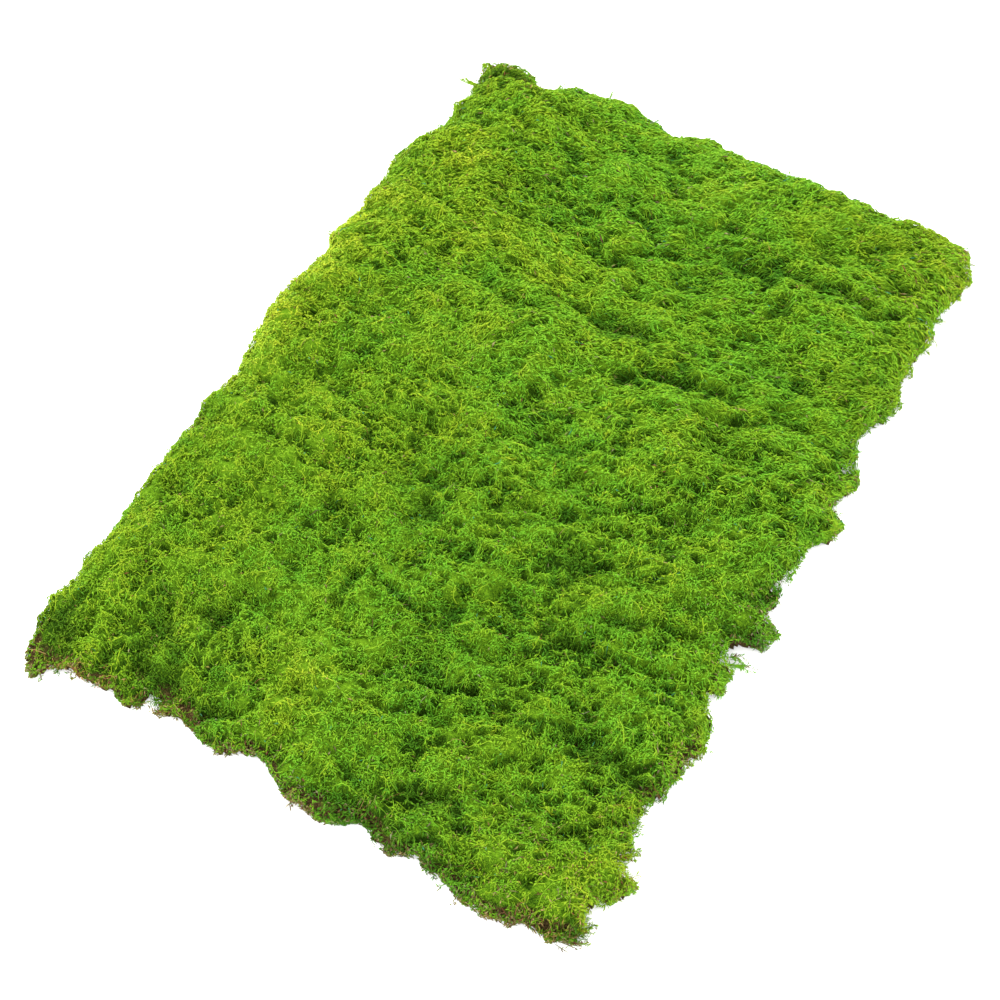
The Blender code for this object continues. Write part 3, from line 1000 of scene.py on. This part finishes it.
# %% Wisps
WISP_LEAVES = 7
WISP_RADIUS = 0.00036
WISP_BAND = 0.003
BUNDLES = (  # root as shares of the two sides, start height as a share of the tips' height, heading in
    # degrees, bend, length in metres, rise, spread, strands
    (0.926, 0.144, 0.3, 15, 1.30, 0.020, 0.001, 0.0010, 18),  # claws near the near right corner
    (0.945, 0.124, 0.3, 45, 0.20, 0.016, 0.001, 0.0012, 18),
    (0.946, 0.090, 0.3, 66, 0.10, 0.021, 0.001, 0.0018, 24),
    (0.948, 0.088, 0.3, 50, -0.20, 0.021, 0.001, 0.0018, 24),
    (0.950, 0.086, 0.3, 30, 0.20, 0.013, 0.001, 0.0020, 14),
    (0.926, 0.030, 0.3, 36, 0.10, 0.023, 0.000, 0.0022, 32),  # the torn flap at the corner
    (0.930, 0.028, 0.3, 12, 0.10, 0.015, 0.000, 0.0018, 18),
    (0.944, 0.366, 0.3, 36, -0.40, 0.022, 0.001, 0.0006, 7),  # thin threads on the right side
    (0.942, 0.374, 0.4, 64, -1.80, 0.016, 0.001, 0.0005, 6),
    (0.960, 0.412, 0.3, 20, 0.80, 0.013, 0.001, 0.0010, 10),
    (0.965, 0.562, 0.3, 70, 0.30, 0.020, 0.001, 0.0015, 16),
    (0.950, 0.628, 0.3, 18, 0.50, 0.010, 0.001, 0.0008, 7),
    (0.955, 0.744, 0.3, 20, 0.40, 0.012, 0.001, 0.0010, 10),
    (0.945, 0.880, 0.3, 12, 0.30, 0.013, 0.001, 0.0005, 9),
    (0.940, 0.970, 0.3, 40, 0.20, 0.012, 0.001, 0.0015, 12),
    (0.072, 0.944, 0.9, 108, 0.90, 0.016, 0.006, 0.0003, 9),  # the curl at the far left corner
    (0.066, 0.930, 0.5, 178, -0.20, 0.019, 0.000, 0.0004, 10),
    (0.188, 0.966, 0.9, 95, -0.30, 0.010, 0.003, 0.0003, 6),  # spikes and tan threads on the far side
    (0.276, 0.986, 0.9, 98, 0.20, 0.009, 0.003, 0.0002, 5),
    (0.596, 0.986, 0.6, 16, -0.20, 0.016, 0.000, 0.0003, 8),
    (0.700, 0.988, 0.7, 50, -0.60, 0.009, 0.001, 0.0006, 6),
    (0.800, 0.988, 0.7, 20, 0.30, 0.011, 0.001, 0.0005, 6),
)


def bundle_lines(x, y, height, heading, bend, length, rise, fan, rng):
    """Free lines that start at (x, y), at the share height of the tips' height. Each turns steadily by
    bend, plus a little of its own, and rises by rise along a quarter sine."""
    n = len(x)
    t = np.linspace(0, 1, 6)
    angle = (heading + rng.normal(0, 1, n) * fan)[:, None] + (bend + rng.normal(0, 2, n) * fan)[:, None] * t
    step = (length * rng.uniform(0.6, 1.05, n))[:, None] / 5
    px = x[:, None] + np.cumsum(np.cos(angle) * step, 1) - step
    py = y[:, None] + np.cumsum(np.sin(angle) * step, 1)
    low = np.maximum(height * read_grid(TIPS, x, y), 0.002)[:, None] * (1 - 0.4 * t)
    up = low + (rise * rng.uniform(0.7, 1.1, n))[:, None] * np.sin(t * np.pi / 2)
    return np.stack([px, py, np.maximum(up, STEM_LOWEST)], -1)


def wisps(small, seed):
    """The bundles, and small wisps along the near, right and far sides, which point outwards."""
    rng = np.random.default_rng(seed)
    rows = np.array(BUNDLES)
    columns = np.repeat(rows, rows[:, 8].astype(int), 0).T
    share_x, share_y, height, heading, bend, length, rise, spread = columns[:8]
    x = LOW[0] + share_x * SPAN_X + rng.normal(0, 1, len(spread)) * spread
    y = LOW[1] + share_y * SPAN_Y + rng.normal(0, 1, len(spread)) * spread
    large = bundle_lines(x, y, height, np.radians(heading), bend, length, rise, 0.08 + 50 * spread, rng)
    x, y = scattered(small, seed + 1)
    rim = (read_grid(RIM, x, y) < WISP_BAND) & (read_grid(LEFT_SIDE, x, y) < 0.5)
    x, y = x[rim], y[rim]
    n = len(x)
    out = np.arctan2(-read_grid(INWARD_Y, x, y), -read_grid(INWARD_X, x, y))
    length, rise = rng.uniform(0.003, 0.006, n), rng.uniform(-0.001, 0.002, n)
    little = bundle_lines(x, y, np.full(n, 0.4), out, rng.normal(0, 0.8, n), length, rise, 0.4, rng)
    line = np.concatenate([large, little])
    offset = rng.normal(0.0, 0.04, len(line))
    shade = shades(line[:, 2, 0], line[:, 2, 1], offset, rng)
    stems = threads(line, WISP_RADIUS * rng.uniform(0.8, 1.2, len(line)), shade)
    size = np.clip(np.append(spread, np.full(n, 0.001)) * 1600, 0.4, 0.9)
    return joined(stems, side_shoots(line, WISP_LEAVES, offset, rng, size))


add_piece("wisps", wisps(8000, 95), SHOOTS)

# %% [markdown]
# ## Floor and light
#
# A pale floor, a large soft lamp on the left and an even pale sky.


# %% Floor and light
FLOOR_GAP = 0.0005
KEY_AWAY, KEY_SIZE, KEY_WATTS, KEY_COLOUR = (-1.6, 0.6, 1.9), 1.2, 46, (1, 0.99, 0.97)
SKY_STRENGTH = 2.9


def add_floor():
    """A flat pale floor, much larger than the mat, half a millimetre below the mat's underside."""
    half = 6 * SPAN_Y
    corners = [(-half, -half, 0), (half, -half, 0), (half, half, 0), (-half, half, 0)]
    mesh = bpy.data.meshes.new("floor")
    mesh.from_pydata(corners, [], [(0, 1, 2, 3)])
    material = bpy.data.materials.new("floor_white")
    material.use_nodes = True
    shader = material.node_tree.nodes["Principled BSDF"]
    shader.inputs["Base Color"].default_value = (0.93, 0.93, 0.93, 1)
    shader.inputs["Roughness"].default_value = 0.9
    shader.inputs["Specular IOR Level"].default_value = 0
    mesh.materials.append(material)
    floor = bpy.data.objects.new("floor", mesh)
    floor.location.z = -FLOOR_GAP
    bpy.context.scene.collection.objects.link(floor)


def add_lamp(name, away, size, power, colour):
    """A square soft lamp at a place given from the mat's middle, aimed at the mat."""
    lamp = bpy.data.objects.new(name, bpy.data.lights.new(name, "AREA"))
    lamp.data.shape = "SQUARE"
    lamp.data.size = size
    lamp.data.energy = power
    lamp.data.color = colour
    lamp.location = Vector(MIDDLE) + Vector(away)
    lamp.rotation_mode = "QUATERNION"
    lamp.rotation_quaternion = (-Vector(away)).to_track_quat("-Z", "Y")
    bpy.context.scene.collection.objects.link(lamp)


def add_sky(strength):
    """The same pale light from everywhere."""
    world = bpy.data.worlds.new("studio")
    world.use_nodes = True
    background = world.node_tree.nodes["Background"]
    background.inputs["Color"].default_value = (1, 1, 1, 1)
    background.inputs["Strength"].default_value = strength
    bpy.context.scene.world = world


add_floor()
add_lamp("key_lamp", KEY_AWAY, KEY_SIZE, KEY_WATTS, KEY_COLOUR)
add_sky(SKY_STRENGTH)
bpy.context.scene.view_settings.view_transform = "Standard"
